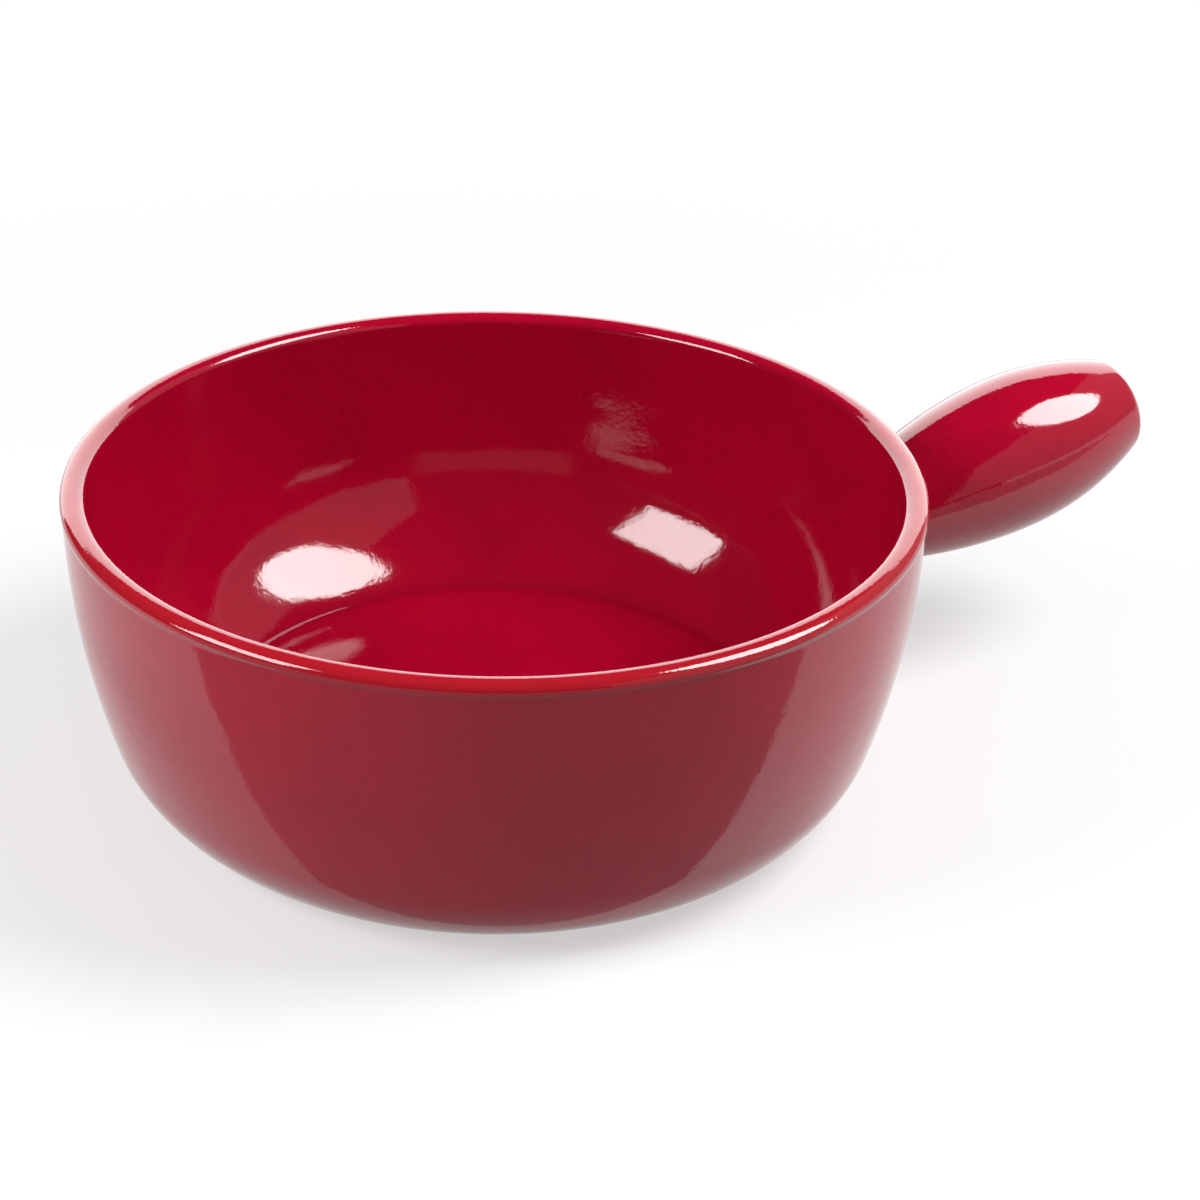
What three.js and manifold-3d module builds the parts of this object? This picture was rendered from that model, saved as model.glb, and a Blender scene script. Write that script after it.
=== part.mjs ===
// A glazed stoneware fondue pot: a thick round bowl with one hollow barrel-shaped handle.
// The handle is cast by itself and stuck to the bowl's wall with a seam of slip, which is liquid clay.
// Units are millimetres and +Z is up. The origin is the middle of the base, on the surface that the
// pot stands on, and the handle points along +X.

import * as THREE from 'three';
import { mergeVertices } from 'three/addons/utils/BufferGeometryUtils.js';
import Module from 'manifold-3d';

// Bowl sizes. The outside is a heel arc and a long wall arc that ends upright under the rim.
const RIM_DIAMETER = 230;
const POT_HEIGHT = 88;
const WALL_THICKNESS = 6.4;
const WALL_ARC = 224;
const HEEL_ARC = 33.3;
// The round bottom is ground flat by this depth, so that the pot stands and takes heat evenly.
const BASE_GRINDING = 3;
const FLOOR_THICKNESS = 11;
const FLOOR_HEEL_ARC = 52;
// The floor cuts the inner heel arc this far above its lowest point, which leaves a clear line.
const FLOOR_CUT = 6.75;

// Rim sizes. The rim is a rounded bead that stands out over the wall by a hair.
const RIM_BAND = 3.5;
const RIM_OVERHANG = 0.4;
const RIM_ROUND = 2.6;

// Handle sizes. Lengths run along the handle's axis from the bowl's wall.
const HANDLE_HEIGHT = 46.3;
const HANDLE_TILT_DEG = 13.4;
const HANDLE_LENGTH = 99.7;
const HANDLE_ROOT_DIAMETER = 22;
const HANDLE_BELLY_DIAMETER = 45.5;
const HANDLE_BELLY_AT = 59.6;
// The flat end would measure this across if its edge were left sharp.
const HANDLE_END_DIAMETER = 26.7;
const HANDLE_END_ROUND = 5.4;
const HANDLE_WALL = 4.5;
// A small hole underneath lets air and steam out of the hollow handle in the kiln.
const VENT_DIAMETER = 4.5;
const VENT_AT = 24;

// Seam sizes. The slip is a film under the handle's root with a coved fillet around it.
const SLIP_FILM = 1.2;
const SLIP_COVE = 4.5;
// The cove runs out to this thickness on the wall and on the handle.
const SLIP_LIP = 0.5;
const SEAT_GAP = 0.3;

// Facets
const BOWL_SIDES = 72;
const HANDLE_SIDES = 40;
const HEEL_STEPS = 8;
const WALL_STEPS = 7;
const RIM_STEPS = 10;
const SWELL_STEPS = 9;
const TAPER_STEPS = 6;
const EDGE_STEPS = 5;
const COVE_STEPS = 5;

const wasm = await Module();
wasm.setup();

// Joins and cuts

// The cells of a revolved surface that end on the axis have one flat triangle each, dropped here.
function closedGeometry(geometry) {
  const bare = geometry.clone();
  bare.deleteAttribute('normal');
  bare.deleteAttribute('uv');
  const merged = mergeVertices(bare, 1e-4);
  const corners = merged.index.array;
  const kept = [];
  for (let i = 0; i < corners.length; i += 3) {
    const [a, b, c] = [corners[i], corners[i + 1], corners[i + 2]];
    if (a !== b && b !== c && c !== a) kept.push(a, b, c);
  }
  merged.setIndex(kept);
  return merged;
}

function toSolid(geometry) {
  const closed = closedGeometry(geometry);
  const vertProperties = new Float32Array(closed.attributes.position.array);
  const triVerts = new Uint32Array(closed.index.array);
  return new wasm.Manifold(new wasm.Mesh({ numProp: 3, vertProperties, triVerts }));
}

function toGeometry(solid) {
  const mesh = solid.getMesh();
  const geometry = new THREE.BufferGeometry();
  geometry.setAttribute('position', new THREE.BufferAttribute(new Float32Array(mesh.vertProperties), 3));
  geometry.setIndex(new THREE.BufferAttribute(new Uint32Array(mesh.triVerts), 1));
  return geometry;
}

// Bowl profile, in a plane through the axis: x is the radius and y is the height

const rimRadius = RIM_DIAMETER / 2;
const wallTop = new THREE.Vector2(rimRadius - RIM_OVERHANG, POT_HEIGHT - RIM_BAND);
const wallCenter = new THREE.Vector2(wallTop.x - WALL_ARC, wallTop.y);

// The center of a heel arc that lies at a given height and runs on smoothly into a wall arc.
function heelCenter(wallArc, heelArc, height) {
  const reach = wallArc - heelArc;
  const drop = wallCenter.y - height;
  return new THREE.Vector2(wallCenter.x + Math.sqrt(reach * reach - drop * drop), height);
}

// The slope at which a heel arc and a wall arc meet, in radians from level.
function joinSlope(heel) {
  return Math.atan2(heel.x - wallCenter.x, wallCenter.y - heel.y);
}

// Points of an arc by slope: slope 0 is its lowest point and a quarter turn is its outermost one.
function arcPoints(center, radius, fromSlope, toSlope, steps) {
  return Array.from({ length: steps + 1 }, (_, i) => {
    const slope = THREE.MathUtils.lerp(fromSlope, toSlope, i / steps);
    return new THREE.Vector2(center.x + radius * Math.sin(slope), center.y - radius * Math.cos(slope));
  });
}

const outerHeel = heelCenter(WALL_ARC, HEEL_ARC, HEEL_ARC - BASE_GRINDING);
const outerJoin = joinSlope(outerHeel);
const innerWallArc = WALL_ARC - WALL_THICKNESS;
const innerHeel = heelCenter(innerWallArc, FLOOR_HEEL_ARC, FLOOR_THICKNESS + FLOOR_HEEL_ARC - FLOOR_CUT);
const innerJoin = joinSlope(innerHeel);

// The outside from the base's edge up to the rim, or the same grown outwards by an even distance.
function outsideProfile(grow) {
  const heelArc = HEEL_ARC + grow;
  const baseSlope = Math.acos(outerHeel.y / heelArc);
  return [
    ...arcPoints(outerHeel, heelArc, baseSlope, outerJoin, HEEL_STEPS),
    ...arcPoints(wallCenter, WALL_ARC + grow, outerJoin, Math.PI / 2, WALL_STEPS).slice(1),
  ];
}

function rimProfile() {
  const halfWidth = (RIM_OVERHANG + WALL_THICKNESS) / 2;
  const shoulder = POT_HEIGHT - RIM_ROUND;
  const bead = Array.from({ length: RIM_STEPS + 1 }, (_, i) => {
    const turn = (Math.PI * i) / RIM_STEPS;
    const radius = rimRadius - halfWidth + halfWidth * Math.cos(turn);
    return new THREE.Vector2(radius, shoulder + RIM_ROUND * Math.sin(turn));
  });
  return [new THREE.Vector2(rimRadius, wallTop.y + RIM_OVERHANG), ...bead];
}

function insideProfile() {
  const floorSlope = Math.acos(1 - FLOOR_CUT / FLOOR_HEEL_ARC);
  return [
    ...arcPoints(wallCenter, innerWallArc, Math.PI / 2, innerJoin, WALL_STEPS),
    ...arcPoints(innerHeel, FLOOR_HEEL_ARC, innerJoin, floorSlope, HEEL_STEPS).slice(1),
  ];
}

function bowlGeometry() {
  const profile = [
    new THREE.Vector2(0, 0),
    ...outsideProfile(0),
    ...rimProfile(),
    ...insideProfile(),
    new THREE.Vector2(0, FLOOR_THICKNESS),
  ];
  return new THREE.LatheGeometry(profile, BOWL_SIDES).rotateX(Math.PI / 2);
}

// How far a point lies outside the bowl's wall, measured square to the wall.
function wallClearance(point) {
  const radius = Math.hypot(point.x, point.y);
  const slope = Math.atan2(radius - wallCenter.x, wallCenter.y - point.z);
  if (slope < outerJoin) {
    return Math.hypot(radius - outerHeel.x, point.z - outerHeel.y) - HEEL_ARC;
  }
  return Math.hypot(radius - wallCenter.x, point.z - wallCenter.y) - WALL_ARC;
}

// Handle frame: local Y runs along the handle, local X is its upper side, and local Z is world Y

const tilt = THREE.MathUtils.degToRad(HANDLE_TILT_DEG);
const handleFrame = new THREE.Group();
const wallDrop = wallCenter.y - HANDLE_HEIGHT;
handleFrame.position.set(wallCenter.x + Math.sqrt(WALL_ARC ** 2 - wallDrop ** 2), 0, HANDLE_HEIGHT);
handleFrame.quaternion.setFromRotationMatrix(new THREE.Matrix4().makeBasis(
  new THREE.Vector3(-Math.sin(tilt), 0, Math.cos(tilt)),
  new THREE.Vector3(Math.cos(tilt), 0, Math.sin(tilt)),
  new THREE.Vector3(0, 1, 0),
));
handleFrame.updateMatrixWorld();

// The handle's outer radius where it swells from the root to the belly.
function handleRadius(along) {
  const root = HANDLE_ROOT_DIAMETER / 2;
  const swell = HANDLE_BELLY_DIAMETER / 2 - root;
  return root + swell * Math.sin((Math.PI / 2) * (along / HANDLE_BELLY_AT));
}

// Beyond the belly a long taper arc runs on smoothly into the short round at the edge of the flat end.
// In these points x is the radius and y is the place along the handle.
const taperLength = HANDLE_LENGTH - HANDLE_BELLY_AT;
const taperDrop = (HANDLE_BELLY_DIAMETER - HANDLE_END_DIAMETER) / 2;
const taperArc = (taperLength ** 2 + taperDrop ** 2) / (2 * taperDrop);
const taperCenter = new THREE.Vector2(HANDLE_BELLY_DIAMETER / 2 - taperArc, HANDLE_BELLY_AT);
const edgeAway = taperLength - HANDLE_END_ROUND;
const edgeOut = Math.sqrt((taperArc - HANDLE_END_ROUND) ** 2 - edgeAway ** 2);
const edgeCenter = new THREE.Vector2(taperCenter.x + edgeOut, HANDLE_BELLY_AT + edgeAway);
const edgeTurn = Math.atan2(edgeAway, edgeOut);

// Points of an arc by turn: turn 0 is square to the handle's axis and a quarter turn is along it.
function barrelPoints(center, radius, fromTurn, toTurn, steps) {
  return Array.from({ length: steps + 1 }, (_, i) => {
    const turn = THREE.MathUtils.lerp(fromTurn, toTurn, i / steps);
    return new THREE.Vector2(center.x + radius * Math.cos(turn), center.y + radius * Math.sin(turn));
  });
}

// Points from the root to the middle of the flat end. A positive inset gives the hollow inside.
function handleProfile(inset) {
  const swell = Array.from({ length: SWELL_STEPS }, (_, i) => {
    const along = THREE.MathUtils.lerp(-HANDLE_ROOT_DIAMETER / 2, HANDLE_BELLY_AT, i / SWELL_STEPS);
    return new THREE.Vector2(handleRadius(along) - inset, along);
  });
  return [
    ...swell,
    ...barrelPoints(taperCenter, taperArc - inset, 0, edgeTurn, TAPER_STEPS),
    ...barrelPoints(edgeCenter, HANDLE_END_ROUND - inset, edgeTurn, Math.PI / 2, EDGE_STEPS).slice(1),
    new THREE.Vector2(0, HANDLE_LENGTH - inset),
  ];
}

function handleGeometry() {
  const cup = [...handleProfile(HANDLE_WALL).reverse(), ...handleProfile(0)];
  const body = toSolid(new THREE.LatheGeometry(cup, HANDLE_SIDES));

  const grow = SEAT_GAP + SLIP_FILM + SEAT_GAP;
  const outside = outsideProfile(grow);
  const wall = [
    new THREE.Vector2(0, outside[0].y),
    ...outside,
    new THREE.Vector2(wallTop.x + grow, POT_HEIGHT),
    new THREE.Vector2(0, POT_HEIGHT),
  ];
  const wallGeometry = new THREE.LatheGeometry(wall, BOWL_SIDES).rotateX(Math.PI / 2);
  wallGeometry.applyMatrix4(handleFrame.matrixWorld.clone().invert());

  const ventReach = HANDLE_BELLY_DIAMETER / 2;
  const vent = new THREE.CylinderGeometry(VENT_DIAMETER / 2, VENT_DIAMETER / 2, ventReach, 16);
  vent.rotateZ(Math.PI / 2).translate(-ventReach / 2 - VENT_DIAMETER, VENT_AT, 0);

  return toGeometry(body.subtract(toSolid(wallGeometry)).subtract(toSolid(vent)));
}

// Slip seam: a ring whose section follows the wall and the handle all the way round

function handlePoint(radius, turn, along) {
  return new THREE.Vector3(radius * Math.cos(turn), along, radius * Math.sin(turn));
}

// How far along the handle a line at some radius reaches a given clearance from the wall.
// The radius is a number, or a function of the place along the handle.
function seatAlong(radiusAt, turn, clearance) {
  let low = -HANDLE_LENGTH / 2;
  let high = HANDLE_LENGTH / 2;
  for (let i = 0; i < 40; i += 1) {
    const along = (low + high) / 2;
    const point = handlePoint(radiusAt(along), turn, along).applyMatrix4(handleFrame.matrixWorld);
    if (wallClearance(point) < clearance) low = along;
    else high = along;
  }
  return (low + high) / 2;
}

function slipSection(turn) {
  const besideHandle = (along) => handleRadius(along) + SEAT_GAP;
  const pointAt = (distance, clearance) => {
    const radius = besideHandle(seatAlong(besideHandle, turn, clearance)) + distance;
    return handlePoint(radius, turn, seatAlong(() => radius, turn, clearance));
  };

  const foot = SEAT_GAP;
  const film = SEAT_GAP + SLIP_FILM;
  const bore = -SEAT_GAP - HANDLE_WALL;
  const top = foot + SLIP_LIP + SLIP_COVE;
  const cove = Array.from({ length: COVE_STEPS + 1 }, (_, i) => {
    const bend = ((Math.PI / 2) * i) / COVE_STEPS;
    return pointAt(SLIP_LIP + SLIP_COVE * (1 - Math.sin(bend)), top - SLIP_COVE * Math.cos(bend));
  });
  return [
    pointAt(bore, foot),
    pointAt(SLIP_LIP + SLIP_COVE, foot),
    ...cove,
    pointAt(0, top),
    pointAt(0, film),
    pointAt(bore, film),
  ];
}

function slipGeometry() {
  const sections = Array.from({ length: HANDLE_SIDES }, (_, i) => (
    slipSection((2 * Math.PI * i) / HANDLE_SIDES)));
  const count = sections[0].length;
  const corners = [];
  for (let i = 0; i < HANDLE_SIDES; i += 1) {
    const here = i * count;
    const next = ((i + 1) % HANDLE_SIDES) * count;
    for (let j = 0; j < count; j += 1) {
      const k = (j + 1) % count;
      corners.push(here + j, next + k, next + j, here + j, here + k, next + k);
    }
  }
  const geometry = new THREE.BufferGeometry().setFromPoints(sections.flat());
  geometry.setIndex(corners);
  return geometry;
}

// Pieces

const redGlaze = new THREE.MeshStandardMaterial({ color: 0xa50f24, roughness: 0.12, metalness: 0 });
const slipUnderGlaze = new THREE.MeshStandardMaterial({ color: 0x9c1426, roughness: 0.15, metalness: 0 });

const bowl = new THREE.Mesh(bowlGeometry(), redGlaze);
bowl.name = 'bowl';

const handle = new THREE.Mesh(handleGeometry(), redGlaze);
handle.name = 'handle';

const slipSeam = new THREE.Mesh(slipGeometry(), slipUnderGlaze);
slipSeam.name = 'slip_seam';

handleFrame.add(handle, slipSeam);

const fonduePot = new THREE.Group();
fonduePot.add(bowl, handleFrame);

export default fonduePot;
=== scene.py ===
# %% [markdown]
# # A fondue pot in red glazed stoneware
# The pot is three pieces of clay that were joined wet and fired as one: a thick bowl turned on a wheel,
# a hollow barrel handle cast in a mould, and the seam of slip between them. A glossy red glaze covers all
# of it but the ground base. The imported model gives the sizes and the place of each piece. This lesson
# makes the same three pieces with a surface fine enough for a mirror-like glaze, and then the glaze.

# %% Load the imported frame
import math

import bpy
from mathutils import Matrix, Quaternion, Vector


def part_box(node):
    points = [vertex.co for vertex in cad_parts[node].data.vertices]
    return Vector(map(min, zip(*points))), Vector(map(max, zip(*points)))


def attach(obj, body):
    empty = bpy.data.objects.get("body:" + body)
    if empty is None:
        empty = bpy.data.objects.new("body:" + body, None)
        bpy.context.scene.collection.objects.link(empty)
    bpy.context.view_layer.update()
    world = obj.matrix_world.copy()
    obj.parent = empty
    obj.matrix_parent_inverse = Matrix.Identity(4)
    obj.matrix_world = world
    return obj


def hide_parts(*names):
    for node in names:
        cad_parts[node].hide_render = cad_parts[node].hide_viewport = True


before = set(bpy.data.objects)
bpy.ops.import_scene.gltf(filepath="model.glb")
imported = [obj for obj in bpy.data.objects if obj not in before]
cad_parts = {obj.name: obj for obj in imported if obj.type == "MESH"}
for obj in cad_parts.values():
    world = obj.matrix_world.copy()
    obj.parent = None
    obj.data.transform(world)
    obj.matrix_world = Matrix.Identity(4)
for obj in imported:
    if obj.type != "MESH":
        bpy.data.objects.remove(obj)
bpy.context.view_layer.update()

MM = 0.001
print("nodes of the frame:", sorted(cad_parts))

# %% [markdown]
# ## The camera
# A long lens looks down into the bowl. The handle points along +X, and in the picture it points to the
# right and a little away, so the camera stands turned by that angle. It is aimed at a point beside the
# bowl's axis, which puts the pot in the middle of the frame, and rolled by a hair as a hand-set tripod is.
# The camera could be placed by eye, but with angles and a distance each value means one thing.

# %% Camera
HANDLE_TURN = math.radians(29.0)
LOOK_DOWN = math.radians(28.03)
CAMERA_DISTANCE = 763.8 * MM
AIM_RIGHT = 28.4 * MM
AIM_UP = 50.0 * MM
CAMERA_ROLL = math.radians(1.72)
LENS = 84.0

UP = Vector((0, 0, 1))
PICTURE_RIGHT = Vector((math.cos(HANDLE_TURN), -math.sin(HANDLE_TURN), 0))
PICTURE_AWAY = Vector((math.sin(HANDLE_TURN), math.cos(HANDLE_TURN), 0))


def in_picture(right, away, up):
    """A point of the frame from its place as the picture shows it: to the right, away and up."""
    return right * PICTURE_RIGHT + away * PICTURE_AWAY + up * UP


def show(thing):
    bpy.context.collection.objects.link(thing)
    return thing


def aim(thing, place, target, roll=0.0):
    thing.location = place
    look = (target - place).to_track_quat("-Z", "Y")
    thing.rotation_euler = (look @ Quaternion((0, 0, 1), roll)).to_euler()


aim_point = in_picture(AIM_RIGHT, 0, AIM_UP)
camera_back = CAMERA_DISTANCE * math.cos(LOOK_DOWN)
camera_rise = CAMERA_DISTANCE * math.sin(LOOK_DOWN)
camera = show(bpy.data.objects.new("camera", bpy.data.cameras.new("camera")))
camera.data.lens = LENS
aim(camera, aim_point - camera_back * PICTURE_AWAY + camera_rise * UP, aim_point, CAMERA_ROLL)
bpy.context.scene.camera = camera
print("camera at", [round(v, 3) for v in camera.location])

# %% [markdown]
# ## Node trees as sums
# Both the shapes and the glaze are node trees. A tree reads best as the sum that it stands for, so a
# small class wraps a socket and turns Python's operators into Math nodes. All other nodes come from one
# method, which sets a node's own settings first and then its sockets.

# %% Sums on sockets


class Wire:
    """The output of a node, which can be added, multiplied and so on."""

    def __init__(self, net, socket):
        self.net = net
        self.socket = socket

    def output(self, name):
        """Another output of the same node."""
        return Wire(self.net, self.socket.node.outputs[name])

    def math(self, operation, *others):
        return self.net.add("ShaderNodeMath", {"operation": operation}, dict(enumerate((self, *others))))

    def __add__(self, other):
        return self.math("ADD", other)

    def __sub__(self, other):
        return self.math("SUBTRACT", other)

    def __rsub__(self, other):
        return self.net.add("ShaderNodeMath", {"operation": "SUBTRACT"}, {0: other, 1: self})

    def __mul__(self, other):
        return self.math("MULTIPLY", other)

    def __truediv__(self, other):
        return self.math("DIVIDE", other)

    def __pow__(self, other):
        return self.math("POWER", other)

    __radd__ = __add__
    __rmul__ = __mul__


# %% Nodes of a tree


class Net:
    """A node tree, with the one method that adds a node to it."""

    def __init__(self, tree):
        self.tree = tree

    def add(self, kind, settings=None, inputs=None, output=0):
        node = self.tree.nodes.new(kind)
        for name, value in (settings or {}).items():
            setattr(node, name, value)
        for name, value in (inputs or {}).items():
            for wire in value if isinstance(value, list) else [value]:
                if isinstance(wire, Wire):
                    self.tree.links.new(wire.socket, node.inputs[name])
                else:
                    node.inputs[name].default_value = wire
        return Wire(self, node.outputs[output]) if node.outputs else node

    def point(self, x, y, z):
        return self.add("ShaderNodeCombineXYZ", None, {"X": x, "Y": y, "Z": z})

    def axes(self, vector):
        split = self.add("ShaderNodeSeparateXYZ", None, {"Vector": vector})
        return [split.output(axis) for axis in "XYZ"]

    def feed(self, node, inputs):
        """Links wires to a node that the tree had from the start."""
        for name, wire in inputs.items():
            self.tree.links.new(wire.socket, self.tree.nodes[node].inputs[name])


print("node helpers ready")

# %% [markdown]
# ## Glaze
# A glaze is coloured glass, melted onto the clay. Its gloss comes from a low roughness on the shader and
# from the lights, so no highlight is painted. Most of what the colour nodes do is what the kiln does: the
# red varies a little in depth, it turns orange where it runs thin over the rim, and iron in the clay burns
# through as tiny dark specks. In the corner of the floor, though, the red is made darker as painted shade.
# The surface itself is not quite even, which a low Bump gives, and that breaks up the edges of all the
# reflections. The base was wiped bare before firing, so there the matt buff clay shows. A picture of a glaze
# could be wrapped round the pot, but patterns on Object coordinates have no seam and stay sharp from close
# by.

# %% Colours of glaze and clay
GLAZE_RED = (0.365, 0.0014, 0.020, 1)
# GLAZE_DEEP is the darker red that the glaze varies to. It is also the colour of the painted shade in the
# floor's corner.
GLAZE_DEEP = (0.28, 0.0009, 0.016, 1)
GLAZE_THIN = (0.42, 0.020, 0.016, 1)
SPECK_BROWN = (0.045, 0.004, 0.005, 1)
CLAY_BUFF = (0.56, 0.42, 0.29, 1)
GLAZE_ROUGHNESS = 0.045
CLAY_ROUGHNESS = 0.85
GLAZE_IOR = 1.6
print("glaze from", GLAZE_RED[:3], "to", GLAZE_DEEP[:3])

# %% Patterns


def blend(net, share, first, second):
    settings = {"data_type": "RGBA"}
    return net.add("ShaderNodeMix", settings, {0: share, 6: first, 7: second}, output=2)


def ramp(net, value, start, end):
    """0 where value is at start and 1 where it is at end, with soft ends."""
    settings = {"interpolation_type": "SMOOTHSTEP"}
    limits = {"Value": value, "From Min": start, "From Max": end, "To Min": 0.0, "To Max": 1.0}
    return net.add("ShaderNodeMapRange", settings, limits)


def noise(net, place, size, detail=2.0):
    return net.add("ShaderNodeTexNoise", None, {"Vector": place, "Scale": 1 / size, "Detail": detail})


def specks(net, place, spacing, radius, share):
    """Dots in a share of the cells of a loose grid."""
    inputs = {"Vector": place, "Scale": 1 / spacing, "Randomness": 1.0}
    cell = net.add("ShaderNodeTexVoronoi", {"feature": "F1"}, inputs)
    lot = net.axes(cell.output("Color"))[0]
    spot = ramp(net, cell.output("Distance"), radius / spacing, 0.4 * radius / spacing)
    return spot * lot.math("LESS_THAN", share)


def object_place(net):
    return net.add("ShaderNodeTexCoord").output("Object")


print("patterns ready: blend, ramp, noise, specks")

# %% The glaze itself
CLOUD_SIZE = 34 * MM
CLOUD_SHARE = 0.5
GRAIN_SIZE = 1.6 * MM
GRAIN_SHARE = 0.45
SPECK_SPACING = 3.8 * MM
SPECK_RADIUS = 0.36 * MM
SPECKED_CELLS = 0.4
SPECK_SHARE = 0.7
ROUGH_PATCH = 9 * MM
ROUGH_SPREAD = 0.03
RELIEF = 0.22 * MM
SWELL_SIZE = 13 * MM
SWELL_SHARE = 0.62
RIPPLE_SIZE = 1.4 * MM
RIPPLE_SHARE = 0.12
GRIT_SIZE = 0.9 * MM
GRIT_COLOUR = 0.5
GRIT_RELIEF = 0.4


def new_material(name):
    material = bpy.data.materials.new(name)
    material.use_nodes = True
    return material, Net(material.node_tree)


def glaze_material(name, thin=None, shade_mask=None, bare=None):
    """thin, pooled and bare take the net and the place: thin gives where the glaze is thin, bare where it is
    wiped off, and pooled where shade is painted in as darker red.
    """
    material, net = new_material(name)
    place = object_place(net)

    cloud = ramp(net, noise(net, place, CLOUD_SIZE, detail=3.0), 0.35, 0.75)
    grain = ramp(net, noise(net, place, GRAIN_SIZE, detail=3.0), 0.45, 0.75)
    colour = blend(net, CLOUD_SHARE * cloud + GRAIN_SHARE * grain, GLAZE_RED, GLAZE_DEEP)
    # Painted shade: where this mask says, the red is darkened towards GLAZE_DEEP.
    if shade_mask:
        colour = blend(net, shade_mask(net, place), colour, GLAZE_DEEP)
    if thin:
        colour = blend(net, thin(net, place), colour, GLAZE_THIN)
    dots = specks(net, place, SPECK_SPACING, SPECK_RADIUS, SPECKED_CELLS)
    colour = blend(net, dots * SPECK_SHARE, colour, SPECK_BROWN)
    roughness = GLAZE_ROUGHNESS + ROUGH_SPREAD * noise(net, place, ROUGH_PATCH)
    swell = noise(net, place, SWELL_SIZE, detail=1.0) * SWELL_SHARE
    ripple = noise(net, place, RIPPLE_SIZE, detail=3.0) * RIPPLE_SHARE
    relief = swell + ripple
    if bare:
        clay = bare(net, place)
        grit = noise(net, place, GRIT_SIZE, detail=4.0)
        colour = blend(net, clay, colour, blend(net, grit * GRIT_COLOUR, CLAY_BUFF, GLAZE_THIN))
        roughness = roughness + clay * (CLAY_ROUGHNESS - GLAZE_ROUGHNESS)
        relief = relief + clay * grit * GRIT_RELIEF
    bump = net.add("ShaderNodeBump", None, {"Distance": RELIEF, "Height": relief})

    net.feed("Principled BSDF", {"Base Color": colour, "Roughness": roughness, "Normal": bump})
    net.tree.nodes["Principled BSDF"].inputs["IOR"].default_value = GLAZE_IOR
    return material


handle_glaze = glaze_material("handle_glaze")
seam_glaze = glaze_material("seam_glaze")
print("glazes:", handle_glaze.name, seam_glaze.name)

# %% [markdown]
# ## Bowl
# The bowl is the same all the way round, so its shape follows one rule: a profile that is turned about
# the axis. The profile is a chain of arcs and short lines. The heel runs smoothly into the long arc of
# the wall, which ends upright under a bead that stands out by a hair, and the inside does the same down
# to a flat floor. A Screw modifier could turn a drawn profile, but Geometry Nodes draw each arc from its
# radius, weld the chain, and sweep it round a circle, so every size stays a number that can be changed.
# The throwing rings that fingers leave inside are a slow wave on the inner wall.

# %% Bowl sizes
bowl_low, bowl_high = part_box("bowl")
RIM_RADIUS = (bowl_high.y - bowl_low.y) / 2
POT_HEIGHT = bowl_high.z
WALL_ARC = 224 * MM
HEEL_ARC = 33.3 * MM
BASE_GRINDING = 3 * MM
WALL_THICKNESS = 6.4 * MM
FLOOR_THICKNESS = 11 * MM
FLOOR_HEEL_ARC = 52 * MM
FLOOR_CUT = 6.75 * MM
RIM_BAND = 3.5 * MM
RIM_OVERHANG = 0.4 * MM
RIM_ROUND = 2.6 * MM
WALL_TOP = POT_HEIGHT - RIM_BAND
WALL_CENTER = RIM_RADIUS - RIM_OVERHANG - WALL_ARC
QUARTER = math.pi / 2
print(f"rim {2 * RIM_RADIUS / MM:.0f} mm across, {POT_HEIGHT / MM:.0f} mm high")

# %% Where the bowl's arcs meet


def heel_center(wall_arc, heel_arc, height):
    """How far from the axis an arc's center lies that runs on smoothly into the wall's arc."""
    return WALL_CENTER + math.sqrt((wall_arc - heel_arc) ** 2 - (WALL_TOP - height) ** 2)


HEEL_HEIGHT = HEEL_ARC - BASE_GRINDING
HEEL_CENTER = heel_center(WALL_ARC, HEEL_ARC, HEEL_HEIGHT)
HEEL_JOIN = math.atan2(HEEL_CENTER - WALL_CENTER, WALL_TOP - HEEL_HEIGHT)
BASE_SLOPE = math.acos(HEEL_HEIGHT / HEEL_ARC)
BASE_RADIUS = HEEL_CENTER + HEEL_ARC * math.sin(BASE_SLOPE)
INNER_ARC = WALL_ARC - WALL_THICKNESS
INNER_HEIGHT = FLOOR_THICKNESS + FLOOR_HEEL_ARC - FLOOR_CUT
INNER_CENTER = heel_center(INNER_ARC, FLOOR_HEEL_ARC, INNER_HEIGHT)
INNER_JOIN = math.atan2(INNER_CENTER - WALL_CENTER, WALL_TOP - INNER_HEIGHT)
FLOOR_SLOPE = math.acos(1 - FLOOR_CUT / FLOOR_HEEL_ARC)
FLOOR_RADIUS = INNER_CENTER + FLOOR_HEEL_ARC * math.sin(FLOOR_SLOPE)
print(f"base radius {BASE_RADIUS / MM:.1f} mm, floor radius {FLOOR_RADIUS / MM:.1f} mm")

# %% [markdown]
# Glaze runs down while it melts, so on the bowl it isn't the same everywhere: thin on the crest of the rim,
# and wiped off the base. Each of these is a soft mask by height, the thin one also by distance from the
# axis, with a little noise so that its edge wanders as a brushed or wiped edge does. A third soft mask, by
# height and by distance from the axis, is painted shade: it darkens the red in the corner round the floor.

# %% Where the bowl's glaze is thin or wiped off, and where shade is painted at the floor
CREST = POT_HEIGHT - 0.4 * RIM_ROUND
RIM_PATCH = 7 * MM
RIM_WANDER = 0.8 * MM
RIM_THIN = 0.4
# Painted shade in the corner round the floor: how far it reaches from the corner, how high above the floor,
# and how dark it is.
CORNER_SHADE_WIDTH = 5 * MM
CORNER_SHADE_HEIGHT = 8 * MM
CORNER_SHADE_SHARE = 0.8
BARE_HEIGHT = 0.9 * MM
BARE_EDGE = 0.15 * MM
BARE_PATCH = 6 * MM
BARE_WANDER = 0.7 * MM


def from_axis(net, place):
    x, y, _ = net.axes(place)
    return (x * x + y * y) ** 0.5


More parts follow.
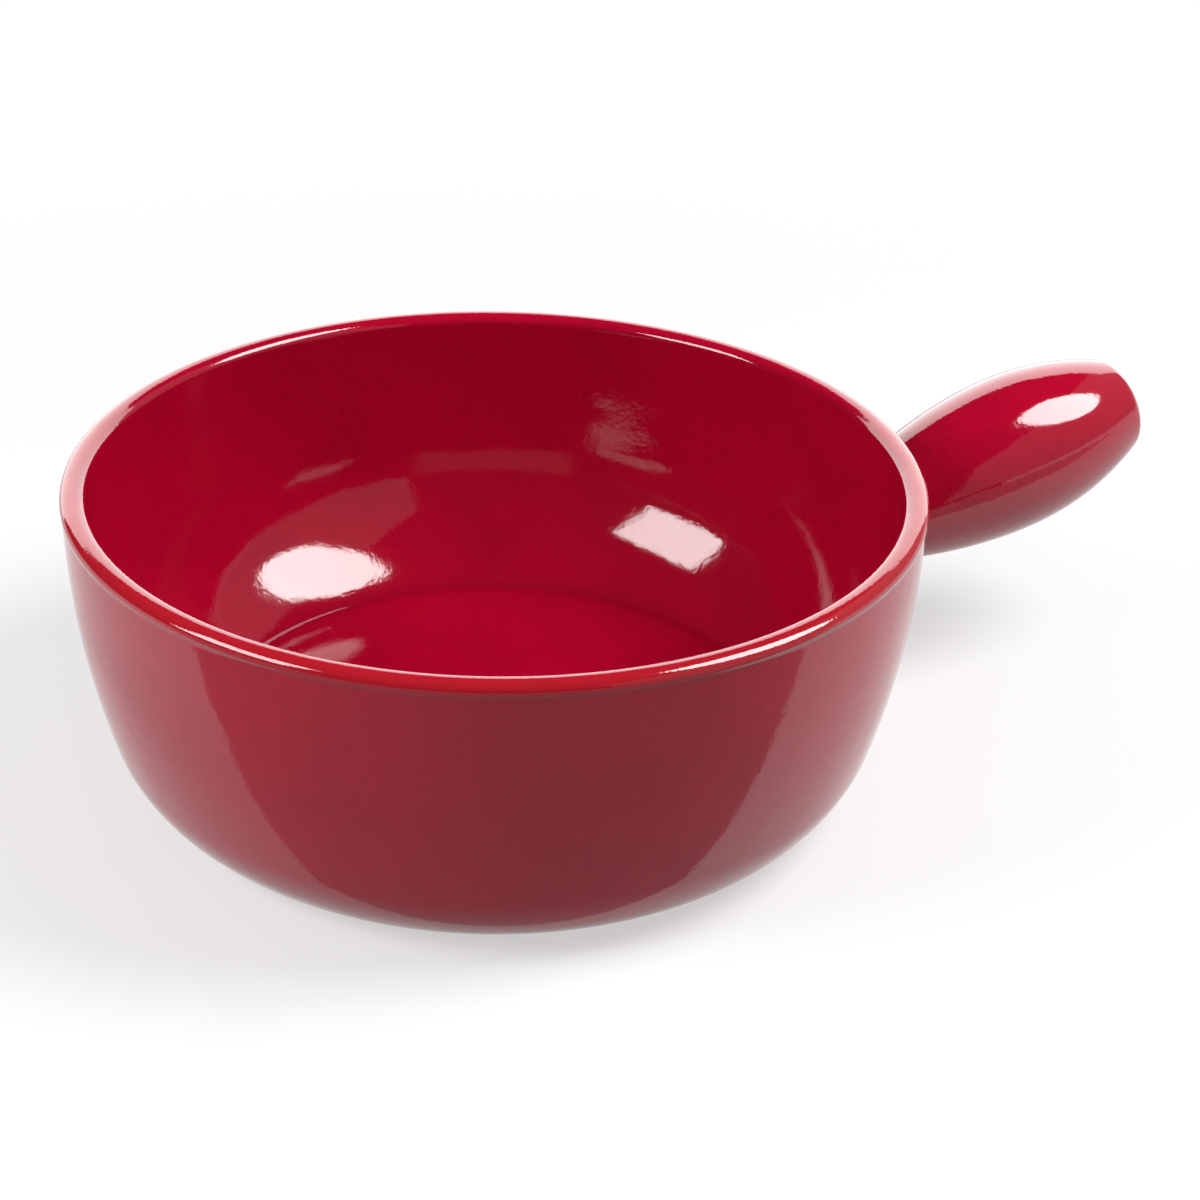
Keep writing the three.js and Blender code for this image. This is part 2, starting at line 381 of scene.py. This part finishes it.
def thin_on_rim(net, place):
    height = net.axes(place)[2] + noise(net, place, RIM_PATCH) * RIM_WANDER
    outside = ramp(net, from_axis(net, place), RIM_RADIUS - 5 * MM, RIM_RADIUS - 2 * MM)
    return ramp(net, height, WALL_TOP, CREST) * outside * RIM_THIN


# Painted shade: the red is made darker in the corner round the floor. It is darkest at the corner and fades
# away from it and upwards.
def floor_corner_shade(net, place):
    height = net.axes(place)[2]
    corner = ramp(net, (from_axis(net, place) - FLOOR_RADIUS).math("ABSOLUTE"), CORNER_SHADE_WIDTH, 0.0)
    return corner * ramp(net, height, FLOOR_THICKNESS + CORNER_SHADE_HEIGHT, FLOOR_THICKNESS) * CORNER_SHADE_SHARE


def bare_base(net, place):
    height = net.axes(place)[2] + noise(net, place, BARE_PATCH) * BARE_WANDER
    return ramp(net, height, BARE_HEIGHT, BARE_HEIGHT - BARE_EDGE)


# The third mask paints shade into the corner round the floor.
bowl_glaze = glaze_material("bowl_glaze", thin_on_rim, floor_corner_shade, bare_base)
print("glaze of the bowl:", bowl_glaze.name)

# %% [markdown]
# A Geometry Nodes tree works on an object through a modifier. Here each tree makes its piece from nothing
# but its inputs, so it runs on an empty mesh. The plain mesh that comes out is kept, and the helper object
# with its modifier goes.

# %% A tree that makes a piece


def outward(mesh):
    """Turns a closed mesh's faces to point outwards, going by the sign of its volume."""
    mesh.calc_loop_triangles()
    points = mesh.vertices
    volume = 0.0
    for triangle in mesh.loop_triangles:
        a, b, c = (points[i].co for i in triangle.vertices)
        volume += a.dot(b.cross(c)) / 6
    if volume < 0:
        mesh.flip_normals()
    print(f"{mesh.name}: {len(mesh.loop_triangles)} triangles, {abs(volume) * 1e6:.0f} cm3")
    return mesh


def node_piece(name, build, sizes, material):
    """Runs a Geometry Nodes tree with one named input for each size, and keeps the plain mesh."""
    tree = bpy.data.node_groups.new(name, "GeometryNodeTree")
    tree.interface.new_socket("Geometry", in_out="OUTPUT", socket_type="NodeSocketGeometry")
    kinds = {int: "NodeSocketInt", float: "NodeSocketFloat"}
    keys = {}
    for label, value in sizes.items():
        socket = tree.interface.new_socket(label, in_out="INPUT", socket_type=kinds[type(value)])
        keys[label] = socket.identifier
    net = Net(tree)
    entry = net.add("NodeGroupInput")
    shape = build(net, {label: entry.output(label) for label in sizes})
    shape = net.add("GeometryNodeSetShadeSmooth", None, {"Geometry": shape})
    shape = net.add("GeometryNodeRealizeInstances", None, {"Geometry": shape})
    shape = net.add("GeometryNodeSetMaterial", None, {"Geometry": shape, "Material": material})
    net.add("NodeGroupOutput", None, {"Geometry": shape})

    helper = show(bpy.data.objects.new(name + "_helper", bpy.data.meshes.new(name + "_helper")))
    modifier = helper.modifiers.new(name, "NODES")
    modifier.node_group = tree
    for label, value in sizes.items():
        modifier[keys[label]] = value
    made = helper.evaluated_get(bpy.context.evaluated_depsgraph_get())
    mesh = bpy.data.meshes.new_from_object(made)
    bpy.data.objects.remove(helper)
    return show(bpy.data.objects.new(name, outward(mesh)))


print("a tree's plain mesh can be kept")

# %% Lines, arcs and turning
WELD = 0.002 * MM
TURNS = 224


def line(net, r0, z0, r1, z1):
    ends = {"Start": net.point(r0, z0, 0.0), "End": net.point(r1, z1, 0.0)}
    return net.add("GeometryNodeCurvePrimitiveLine", {"mode": "POINTS"}, ends)


def arc(net, r, z, radius, start, end, points):
    """An arc by slope: slope 0 is its lowest point and a quarter turn its outermost one."""
    drawn = net.add("GeometryNodeCurveArc", {"mode": "RADIUS"}, {
        "Resolution": points,
        "Radius": radius,
        "Start Angle": start - QUARTER,
        "Sweep Angle": end - start,
    })
    return net.add("GeometryNodeTransform", None, {"Geometry": drawn, "Translation": net.point(r, z, 0.0)})


def turn_about_axis(net, chain, rim, turns):
    """Welds a chain of curves into one profile, and sweeps it round a circle as wide as the rim."""
    profile = net.add("GeometryNodeJoinGeometry", None, {"Geometry": chain})
    profile = net.add("GeometryNodeCurveToMesh", None, {"Curve": profile})
    profile = net.add("GeometryNodeMergeByDistance", None, {"Geometry": profile, "Distance": WELD})
    profile = net.add("GeometryNodeMeshToCurve", None, {"Mesh": profile})
    x, y, _ = net.axes(net.add("GeometryNodeInputPosition"))
    profile = net.add("GeometryNodeSetPosition", None,
                      {"Geometry": profile, "Position": net.point(x - rim, 0 - y, 0.0)})
    path = net.add("GeometryNodeCurvePrimitiveCircle", {"mode": "RADIUS"},
                   {"Resolution": turns, "Radius": rim})
    path = net.add("GeometryNodeSetCurveNormal", {"mode": "Z_UP"}, {"Curve": path})
    turned = net.add("GeometryNodeCurveToMesh", None, {"Curve": path, "Profile Curve": profile})
    return net.add("GeometryNodeMergeByDistance", None, {"Geometry": turned, "Distance": WELD})


print(f"a profile is turned in {TURNS} steps")

# %% Turn the bowl
EASE = 0.8 * MM
RING_BOTTOM = 30 * MM
RING_FULL = 45 * MM
RING_FADE = 8 * MM


def throwing_rings(net, size, curve):
    """Moves a curve in and out by a slow wave that fades at both ends."""
    height = net.axes(net.add("GeometryNodeInputPosition"))[1]
    wave = (height * (2 * math.pi) / size["Ring pitch"]).math("SINE") * size["Ring depth"]
    wall_top = size["Height"] - size["Rim band"]
    fade = ramp(net, height, wall_top, wall_top - RING_FADE) * ramp(net, height, RING_BOTTOM, RING_FULL)
    return net.add("GeometryNodeSetPosition", None,
                   {"Geometry": curve, "Offset": net.point(wave * fade, 0.0, 0.0)})


def turned_bowl(net, size):
    rim = size["Rim radius"]
    wall_top = size["Height"] - size["Rim band"]
    half_rim = (size["Overhang"] + size["Wall"]) / 2
    shoulder = size["Height"] - size["Rim round"]
    bead_foot = wall_top + size["Overhang"]
    wall_radius = rim - size["Overhang"]

    bead = net.add("GeometryNodeCurveArc", {"mode": "RADIUS"},
                   {"Resolution": 41, "Radius": 1.0, "Start Angle": 0.0, "Sweep Angle": math.pi})
    bead = net.add("GeometryNodeTransform", None, {
        "Geometry": bead,
        "Translation": net.point(rim - half_rim, shoulder, 0.0),
        "Scale": net.point(half_rim, size["Rim round"], 1.0),
    })
    inner_wall = arc(net, WALL_CENTER, wall_top, INNER_ARC, INNER_JOIN, QUARTER, points=72)
    chain = [
        line(net, 0.0, 0.0, BASE_RADIUS - EASE, 0.0),
        line(net, BASE_RADIUS - EASE, 0.0, BASE_RADIUS, 0.0),
        arc(net, HEEL_CENTER, HEEL_HEIGHT, HEEL_ARC, BASE_SLOPE, HEEL_JOIN, points=36),
        arc(net, WALL_CENTER, wall_top, WALL_ARC, HEEL_JOIN, QUARTER, points=56),
        line(net, wall_radius, wall_top, rim, bead_foot),
        line(net, rim, bead_foot, rim, shoulder),
        bead,
        line(net, rim - half_rim * 2, shoulder, wall_radius - size["Wall"], wall_top),
        throwing_rings(net, size, inner_wall),
        arc(net, INNER_CENTER, INNER_HEIGHT, FLOOR_HEEL_ARC, FLOOR_SLOPE, INNER_JOIN, points=44),
        line(net, FLOOR_RADIUS, FLOOR_THICKNESS, FLOOR_RADIUS - EASE, FLOOR_THICKNESS),
        line(net, FLOOR_RADIUS - EASE, FLOOR_THICKNESS, 0.0, FLOOR_THICKNESS),
    ]
    return turn_about_axis(net, chain, rim, size["Turns"])


bowl = node_piece("glazed_bowl", turned_bowl, {
    "Rim radius": RIM_RADIUS,
    "Height": POT_HEIGHT,
    "Wall": WALL_THICKNESS,
    "Rim band": RIM_BAND,
    "Overhang": RIM_OVERHANG,
    "Rim round": RIM_ROUND,
    "Ring depth": 0.005 * MM,
    "Ring pitch": 9.0 * MM,
    "Turns": TURNS,
}, bowl_glaze)

# %% [markdown]
# ## Handle
# The handle is a round barrel: thin at the root, widest at its belly, and cut flat at the end with a
# rounded edge. A cylinder could be pulled into that shape by hand. It follows a path, though, which is its
# own axis, so Geometry Nodes lay rings along a line and give each ring its radius by rule: a swell up to
# the belly, then a long arc, then a short arc round the edge. The same rule with an inset makes the hollow
# that slip casting leaves. That hollow is cut out together with the small vent hole underneath, and the
# root is cut to the curve of the bowl's wall.

# %% Handle sizes
HANDLE_TILT = math.radians(13.4)
HANDLE_HEIGHT = 46.3 * MM
HANDLE_LENGTH = 99.7 * MM
ROOT_RADIUS = 11.0 * MM
BELLY_RADIUS = 22.75 * MM
BELLY_AT = 59.6 * MM
END_RADIUS = 13.35 * MM
END_ROUND = 5.4 * MM
HANDLE_WALL = 4.5 * MM
VENT_RADIUS = 2.25 * MM
VENT_AT = 24 * MM
HANDLE_FOOT = WALL_CENTER + math.sqrt(WALL_ARC ** 2 - (WALL_TOP - HANDLE_HEIGHT) ** 2)
print(f"the handle leaves the wall {HANDLE_FOOT / MM:.1f} mm from the axis")

# %% The barrel's radius along its axis


def square(value):
    return value * value


def barrel_radius(size, along, inset):
    """The rule of the barrel: a swell, a tapering arc and a round edge, all smaller by the inset."""
    taper_length = size["Length"] - size["Belly at"]
    taper_drop = size["Belly radius"] - size["End radius"]
    taper_arc = (square(taper_length) + square(taper_drop)) / (2 * taper_drop)
    taper_center = size["Belly radius"] - taper_arc
    edge_away = taper_length - size["End round"]
    edge_out = (square(taper_arc - size["End round"]) - square(edge_away)) ** 0.5
    edge_at = size["Belly at"] + edge_away
    edge_turn = edge_away.math("ARCTAN2", edge_out).math("SINE")
    join_at = size["Belly at"] + taper_arc * edge_turn

    swell = (along / size["Belly at"] * QUARTER).math("SINE")
    swollen = size["Root radius"] + (size["Belly radius"] - size["Root radius"]) * swell - inset
    reach = (square(taper_arc - inset) - square(along - size["Belly at"])).math("MAXIMUM", 0.0)
    tapered = taper_center + reach ** 0.5
    turn = (square(size["End round"] - inset) - square(along - edge_at)).math("MAXIMUM", 0.0)
    rounded = taper_center + edge_out + turn ** 0.5
    near = along.math("LESS_THAN", size["Belly at"])
    last = along.math("GREATER_THAN", join_at - inset * edge_turn)
    return near * swollen + (1 - near) * ((1 - last) * tapered + last * rounded)


def barrel(net, size, inset):
    """A closed barrel along X, with its rings closer together towards the round edge."""
    start = size["Root radius"] * -1.0
    length = size["Length"] - inset
    rod = net.add("GeometryNodeResampleCurve", {"mode": "COUNT"},
                  {"Curve": line(net, 0.0, 0.0, 1.0, 0.0), "Count": size["Rings"]})
    share = net.add("GeometryNodeInputIndex") / (size["Rings"] - 1)
    place = length - (length - start) * square(1 - share)
    rod = net.add("GeometryNodeSetPosition", None,
                  {"Geometry": rod, "Position": net.point(place, 0.0, 0.0)})
    along = net.axes(net.add("GeometryNodeInputPosition"))[0]
    circle = net.add("GeometryNodeCurvePrimitiveCircle", {"mode": "RADIUS"},
                     {"Resolution": size["Sides"], "Radius": 1.0})
    solid = net.add("GeometryNodeCurveToMesh", None, {
        "Curve": rod,
        "Profile Curve": circle,
        "Scale": barrel_radius(size, along, inset),
        "Fill Caps": True,
    })
    return net.add("GeometryNodeMergeByDistance", None, {"Geometry": solid, "Distance": WELD})


print("a barrel swells to its belly", BELLY_AT / MM, "mm from the wall")

# %% Cast the handle and cut its root
SEAT_GAP = 0.3 * MM
VENT_SIDES = 32
VENT_DEPTH = 0.75
INSIDE_BOX = 0.05 * MM


def cut(net, solid, cutters):
    return net.add("GeometryNodeMeshBoolean", {"operation": "DIFFERENCE", "solver": "EXACT"},
                   {"Mesh 1": solid, "Mesh 2": cutters})


def wall_solid(net, rim):
    """The bowl's wall as a solid that is larger by the gap at the seat."""
    seat_arc = WALL_ARC + SEAT_GAP
    low_slope = math.acos((WALL_TOP - HEEL_HEIGHT) / seat_arc)
    low_radius = WALL_CENTER + seat_arc * math.sin(low_slope)
    return turn_about_axis(net, [
        line(net, 0.0, HEEL_HEIGHT, low_radius, HEEL_HEIGHT),
        arc(net, WALL_CENTER, WALL_TOP, seat_arc, low_slope, QUARTER, points=48),
        line(net, WALL_CENTER + seat_arc, WALL_TOP, 0.0, WALL_TOP),
    ], rim, TURNS)


def barrel_handle(net, size):
    vent = net.add("GeometryNodeMeshCylinder", None,
                   {"Vertices": VENT_SIDES, "Radius": size["Vent radius"], "Depth": size["Belly radius"]})
    vent = net.add("GeometryNodeTransform", None, {
        "Geometry": vent,
        "Translation": net.point(size["Vent at"], 0.0, size["Belly radius"] * -VENT_DEPTH),
    })
    cast = cut(net, barrel(net, size, 0.0), [barrel(net, size, size["Wall"]), vent])
    cast = net.add("GeometryNodeTransform", None, {
        "Geometry": cast,
        "Translation": net.point(size["Foot"], 0.0, size["Height"]),
        "Rotation": net.add("FunctionNodeEulerToRotation", None,
                            {"Euler": net.point(0.0, 0 - size["Tilt"], 0.0)}),
    })
    return cut(net, cast, [wall_solid(net, size["Foot"])])


handle = node_piece("glazed_handle", barrel_handle, {
    "Length": HANDLE_LENGTH - INSIDE_BOX,
    "Root radius": ROOT_RADIUS,
    "Belly radius": BELLY_RADIUS - INSIDE_BOX,
    "Belly at": BELLY_AT,
    "End radius": END_RADIUS - INSIDE_BOX,
    "End round": END_ROUND,
    "Wall": HANDLE_WALL,
    "Vent radius": VENT_RADIUS,
    "Vent at": VENT_AT,
    "Foot": HANDLE_FOOT,
    "Height": HANDLE_HEIGHT,
    "Tilt": HANDLE_TILT,
    "Rings": 96,
    "Sides": 112,
}, handle_glaze)
handle.data.set_sharp_from_angle(angle=math.radians(40))

# %% [markdown]
# ## Slip seam
# The potter sticks the handle on with slip and smooths the seam with a wet finger, which leaves a cove
# all round the root. A Bevel could round the corner, but the cove has to lie smoothly on two curved
# surfaces at once. So each section is a quadratic curve with its middle point where handle and wall would
# meet, and it leaves both of them along their own surface. Ordinary mesh code is the plainest way to sweep
# it round the root.

# %% Points on the handle and on the wall
SEARCH_STEPS = 40

handle_along = Vector((math.cos(HANDLE_TILT), 0, math.sin(HANDLE_TILT)))
handle_upper = Vector((-math.sin(HANDLE_TILT), 0, math.cos(HANDLE_TILT)))
handle_side = Vector((0, 1, 0))
handle_foot = Vector((HANDLE_FOOT, 0, HANDLE_HEIGHT))


def handle_radius(along):
    return ROOT_RADIUS + (BELLY_RADIUS - ROOT_RADIUS) * math.sin(QUARTER * along / BELLY_AT)


def handle_point(radius, turn, along):
    ring = math.cos(turn) * handle_upper + math.sin(turn) * handle_side
    return handle_foot + along * handle_along + radius * ring


def off_wall(point):
    """How far a point lies outside the bowl's wall."""
    radius = math.hypot(point.x, point.y)
    return math.hypot(radius - WALL_CENTER, point.z - WALL_TOP) - WALL_ARC


def seat(radius_at, turn):
    """How far along the handle a line beside its axis meets the wall."""
    low, high = -HANDLE_LENGTH / 2, HANDLE_LENGTH / 2
    for _ in range(SEARCH_STEPS):
        along = (low + high) / 2
        if off_wall(handle_point(radius_at(along), turn, along)) < 0:
            low = along
        else:
            high = along
    return along


print(f"the handle's top meets the wall {seat(handle_radius, 0.0) / MM:.2f} mm along its axis")

# %% Make the seam
COVE = 5.0 * MM
SEAM_STEPS = 14
SEAM_TURNS = 128
SINK = 1.2 * MM


def seam_section(turn):
    """The cove from the wall to the handle, closed by a point inside the clay."""
    root = seat(handle_radius, turn)
    root_radius = handle_radius(root)
    spread = root_radius + COVE
    on_wall = handle_point(spread, turn, seat(lambda _: spread, turn))
    corner = handle_point(root_radius, turn, root)
    on_handle = handle_point(handle_radius(root + COVE), turn, root + COVE)
    inside = handle_point(root_radius - SINK, turn, root - SINK)
    cove = []
    for step in range(SEAM_STEPS + 1):
        t = step / SEAM_STEPS
        cove.append((1 - t) ** 2 * on_wall + 2 * t * (1 - t) * corner + t * t * on_handle)
    return [*cove, inside]


sections = [seam_section(2 * math.pi * i / SEAM_TURNS) for i in range(SEAM_TURNS)]
count = len(sections[0])
seam_faces = []
for i in range(SEAM_TURNS):
    here = i * count
    there = (i + 1) % SEAM_TURNS * count
    for j in range(count):
        k = (j + 1) % count
        seam_faces.append((here + j, here + k, there + k, there + j))
seam_mesh = bpy.data.meshes.new("glazed_seam")
seam_mesh.from_pydata([point for section in sections for point in section], [], seam_faces)
seam_mesh.shade_smooth()
seam_mesh.materials.append(seam_glaze)
seam = show(bpy.data.objects.new("glazed_seam", outward(seam_mesh)))
seam.data.set_sharp_from_angle(angle=math.radians(60))

# %% [markdown]
# ## Studio
# Product photographers light a glossy pot by what it mirrors. Two softboxes stand left and right above
# it, and the room above and in front is dark, so the red stays deep. The table is white, but it ends just
# in front of the pot, so the wall that faces the camera mirrors the dark room. A bright paper behind the
# pot gives the rim and the handle their pale edges. Room and paper could be real walls, but then they
# would change the light too, so they are cards that only reflections can see. The floor is pale and keeps
# the pot's own soft shadow. What the eye sees of it turns to plain white further out, and so does the world.

# %% Floor
FLOOR_SIZE = 24.0
FLOOR_GAP = 0.1 * MM
WHITE = (1, 1, 1, 1)
PAPER_SEEN = (0.8, 0.8, 0.8, 1)
PAPER_DIM = (0.45, 0.45, 0.45, 1)
WHITE_FROM = 0.14
WHITE_TO = 0.5
WHITE_NEAR = 0.55


def seen_by_eye(net):
    """1 for a ray of the camera, or one that a mirror or glass sends on."""
    path = net.add("ShaderNodeLightPath")
    mirrored = path.output("Is Glossy Ray").math("MAXIMUM", path.output("Is Transmission Ray"))
    return path.output("Is Camera Ray").math("MAXIMUM", mirrored)


def flat_card(name, corners, material):
    mesh = bpy.data.meshes.new(name)
    mesh.from_pydata(corners, [], [tuple(range(len(corners)))])
    mesh.materials.append(material)
    card = show(bpy.data.objects.new(name, mesh))
    return card


def glow(net, strength):
    return net.add("ShaderNodeEmission", None, {"Color": WHITE, "Strength": strength})


def floor_material():
    material, net = new_material("pale_floor")
    eye = seen_by_eye(net)
    paper = net.add("ShaderNodeBsdfDiffuse", None, {"Color": blend(net, eye, PAPER_DIM, PAPER_SEEN)})
    far = ramp(net, from_axis(net, object_place(net)), WHITE_FROM, WHITE_TO)
    share = eye * (WHITE_NEAR + (1 - WHITE_NEAR) * far)
    mixed = net.add("ShaderNodeMixShader", None, {0: share, 1: paper, 2: glow(net, 1.0)})
    net.feed("Material Output", {"Surface": mixed})
    return material


def level_corners(half, height):
    return [(-half, -half, height), (half, -half, height), (half, half, height), (-half, half, height)]


flat_card("floor", level_corners(FLOOR_SIZE / 2, -FLOOR_GAP), floor_material())
print(f"floor {FLOOR_SIZE} m wide")

# %% World
FILL = 0.21

world = bpy.data.worlds.new("studio")
world.use_nodes = True
bpy.context.scene.world = world
world_net = Net(world.node_tree)
world_net.tree.nodes["Background"].inputs["Color"].default_value = WHITE
world_net.feed("Background", {"Strength": FILL + (1 - FILL) * seen_by_eye(world_net)})
bpy.context.scene.view_settings.view_transform = "Standard"
print("soft fill from all round:", FILL)

# %% Dark room and bright paper
ROOM_GREY = 0.42
ROOM_BLACK = 0.02
ROOM_SIDE = 0.34
PAPER_WHITE = 3.0
TABLE_EDGE = 98 * MM
TABLE_SKEW = 0.07
ROOM = 2.2
ROOM_RIGHT = 1.3
ROOM_TOP = 1.9
SKYLINE = 0.12
CARD_LIFT = 0.5 * MM
PAPER_AWAY = 0.7
PAPER_LEFT = -0.8
PAPER_RIGHT = 0.6
PAPER_TOP = 0.62


def glow_material(name, strength):
    material, net = new_material(name)
    net.feed("Material Output", {"Surface": glow(net, strength)})
    return material


def mirror_card(name, corners, material):
    """A card that only reflections see."""
    card = flat_card(name, [in_picture(*corner) for corner in corners], material)
    card.visible_camera = False
    card.visible_diffuse = False
    card.visible_transmission = False
    card.visible_shadow = False


def upright(name, start, end, low, high, material):
    mirror_card(name, [(*start, low), (*end, low), (*end, high), (*start, high)], material)


room_grey = glow_material("grey_room", ROOM_GREY)
room_black = glow_material("black_room", ROOM_BLACK)
room_side = glow_material("dim_side", ROOM_SIDE)
paper_white = glow_material("white_paper", PAPER_WHITE)

mirror_card("room_before_table", [
    (-ROOM, -TABLE_EDGE - TABLE_SKEW * ROOM, CARD_LIFT),
    (-ROOM, -ROOM, CARD_LIFT),
    (ROOM, -ROOM, CARD_LIFT),
    (ROOM, -TABLE_EDGE + TABLE_SKEW * ROOM, CARD_LIFT),
], room_grey)
upright("room_front", (-ROOM, -ROOM), (ROOM, -ROOM), 0, ROOM_TOP, room_black)
upright("room_left", (-ROOM, -ROOM), (-ROOM, ROOM), SKYLINE, ROOM_TOP, room_black)
upright("room_right", (ROOM_RIGHT, -ROOM), (ROOM_RIGHT, ROOM), SKYLINE, ROOM_TOP, room_side)
upright("room_back", (-ROOM, ROOM), (ROOM, ROOM), SKYLINE, ROOM_TOP, room_black)
upright("backdrop", (PAPER_LEFT, PAPER_AWAY), (PAPER_RIGHT, PAPER_AWAY), 0, PAPER_TOP, paper_white)
mirror_card("room_ceiling", level_corners(ROOM, ROOM_TOP), room_black)
print("cards of the studio stand round the pot")

# %% Softboxes
SOFTBOXES = {
    "softbox_left": {
        "shape": "RECTANGLE", "width": 0.51, "length": 0.42,
        "azimuth": -155, "height": 35, "away": 1.0, "watts": 7.5,
    },
    "softbox_right": {
        "shape": "ELLIPSE", "width": 0.66, "length": 0.84,
        "azimuth": 1, "height": 50, "away": 1.3, "watts": 19,
    },
}
pot_middle = Vector((0, 0, POT_HEIGHT / 3))

for name, box in SOFTBOXES.items():
    turn = math.radians(box["azimuth"])
    rise = math.radians(box["height"])
    direction = in_picture(math.cos(turn) * math.cos(rise), math.sin(turn) * math.cos(rise), math.sin(rise))
    lamp = bpy.data.lights.new(name, "AREA")
    lamp.shape = box["shape"]
    lamp.size = box["width"]
    lamp.size_y = box["length"]
    lamp.energy = box["watts"]
    softbox = show(bpy.data.objects.new(name, lamp))
    softbox.visible_camera = False
    aim(softbox, pot_middle + box["away"] * direction, pot_middle)
    print(f"{name}: {box['watts']} W at {box['height']} degrees up")

# %% [markdown]
# ## Hand the pieces to the frame
# Each piece stands in for its node of the imported model, which is hidden, and rides on the one rigid body.

# %% Hide the nodes and ride
PIECES = [
    (bowl, "bowl", "bowl_glaze"),
    (handle, "handle", "handle_glaze"),
    (seam, "slip_seam", "seam_glaze"),
]

for piece, node, slot in PIECES:
    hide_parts(node)
    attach(piece, "root")
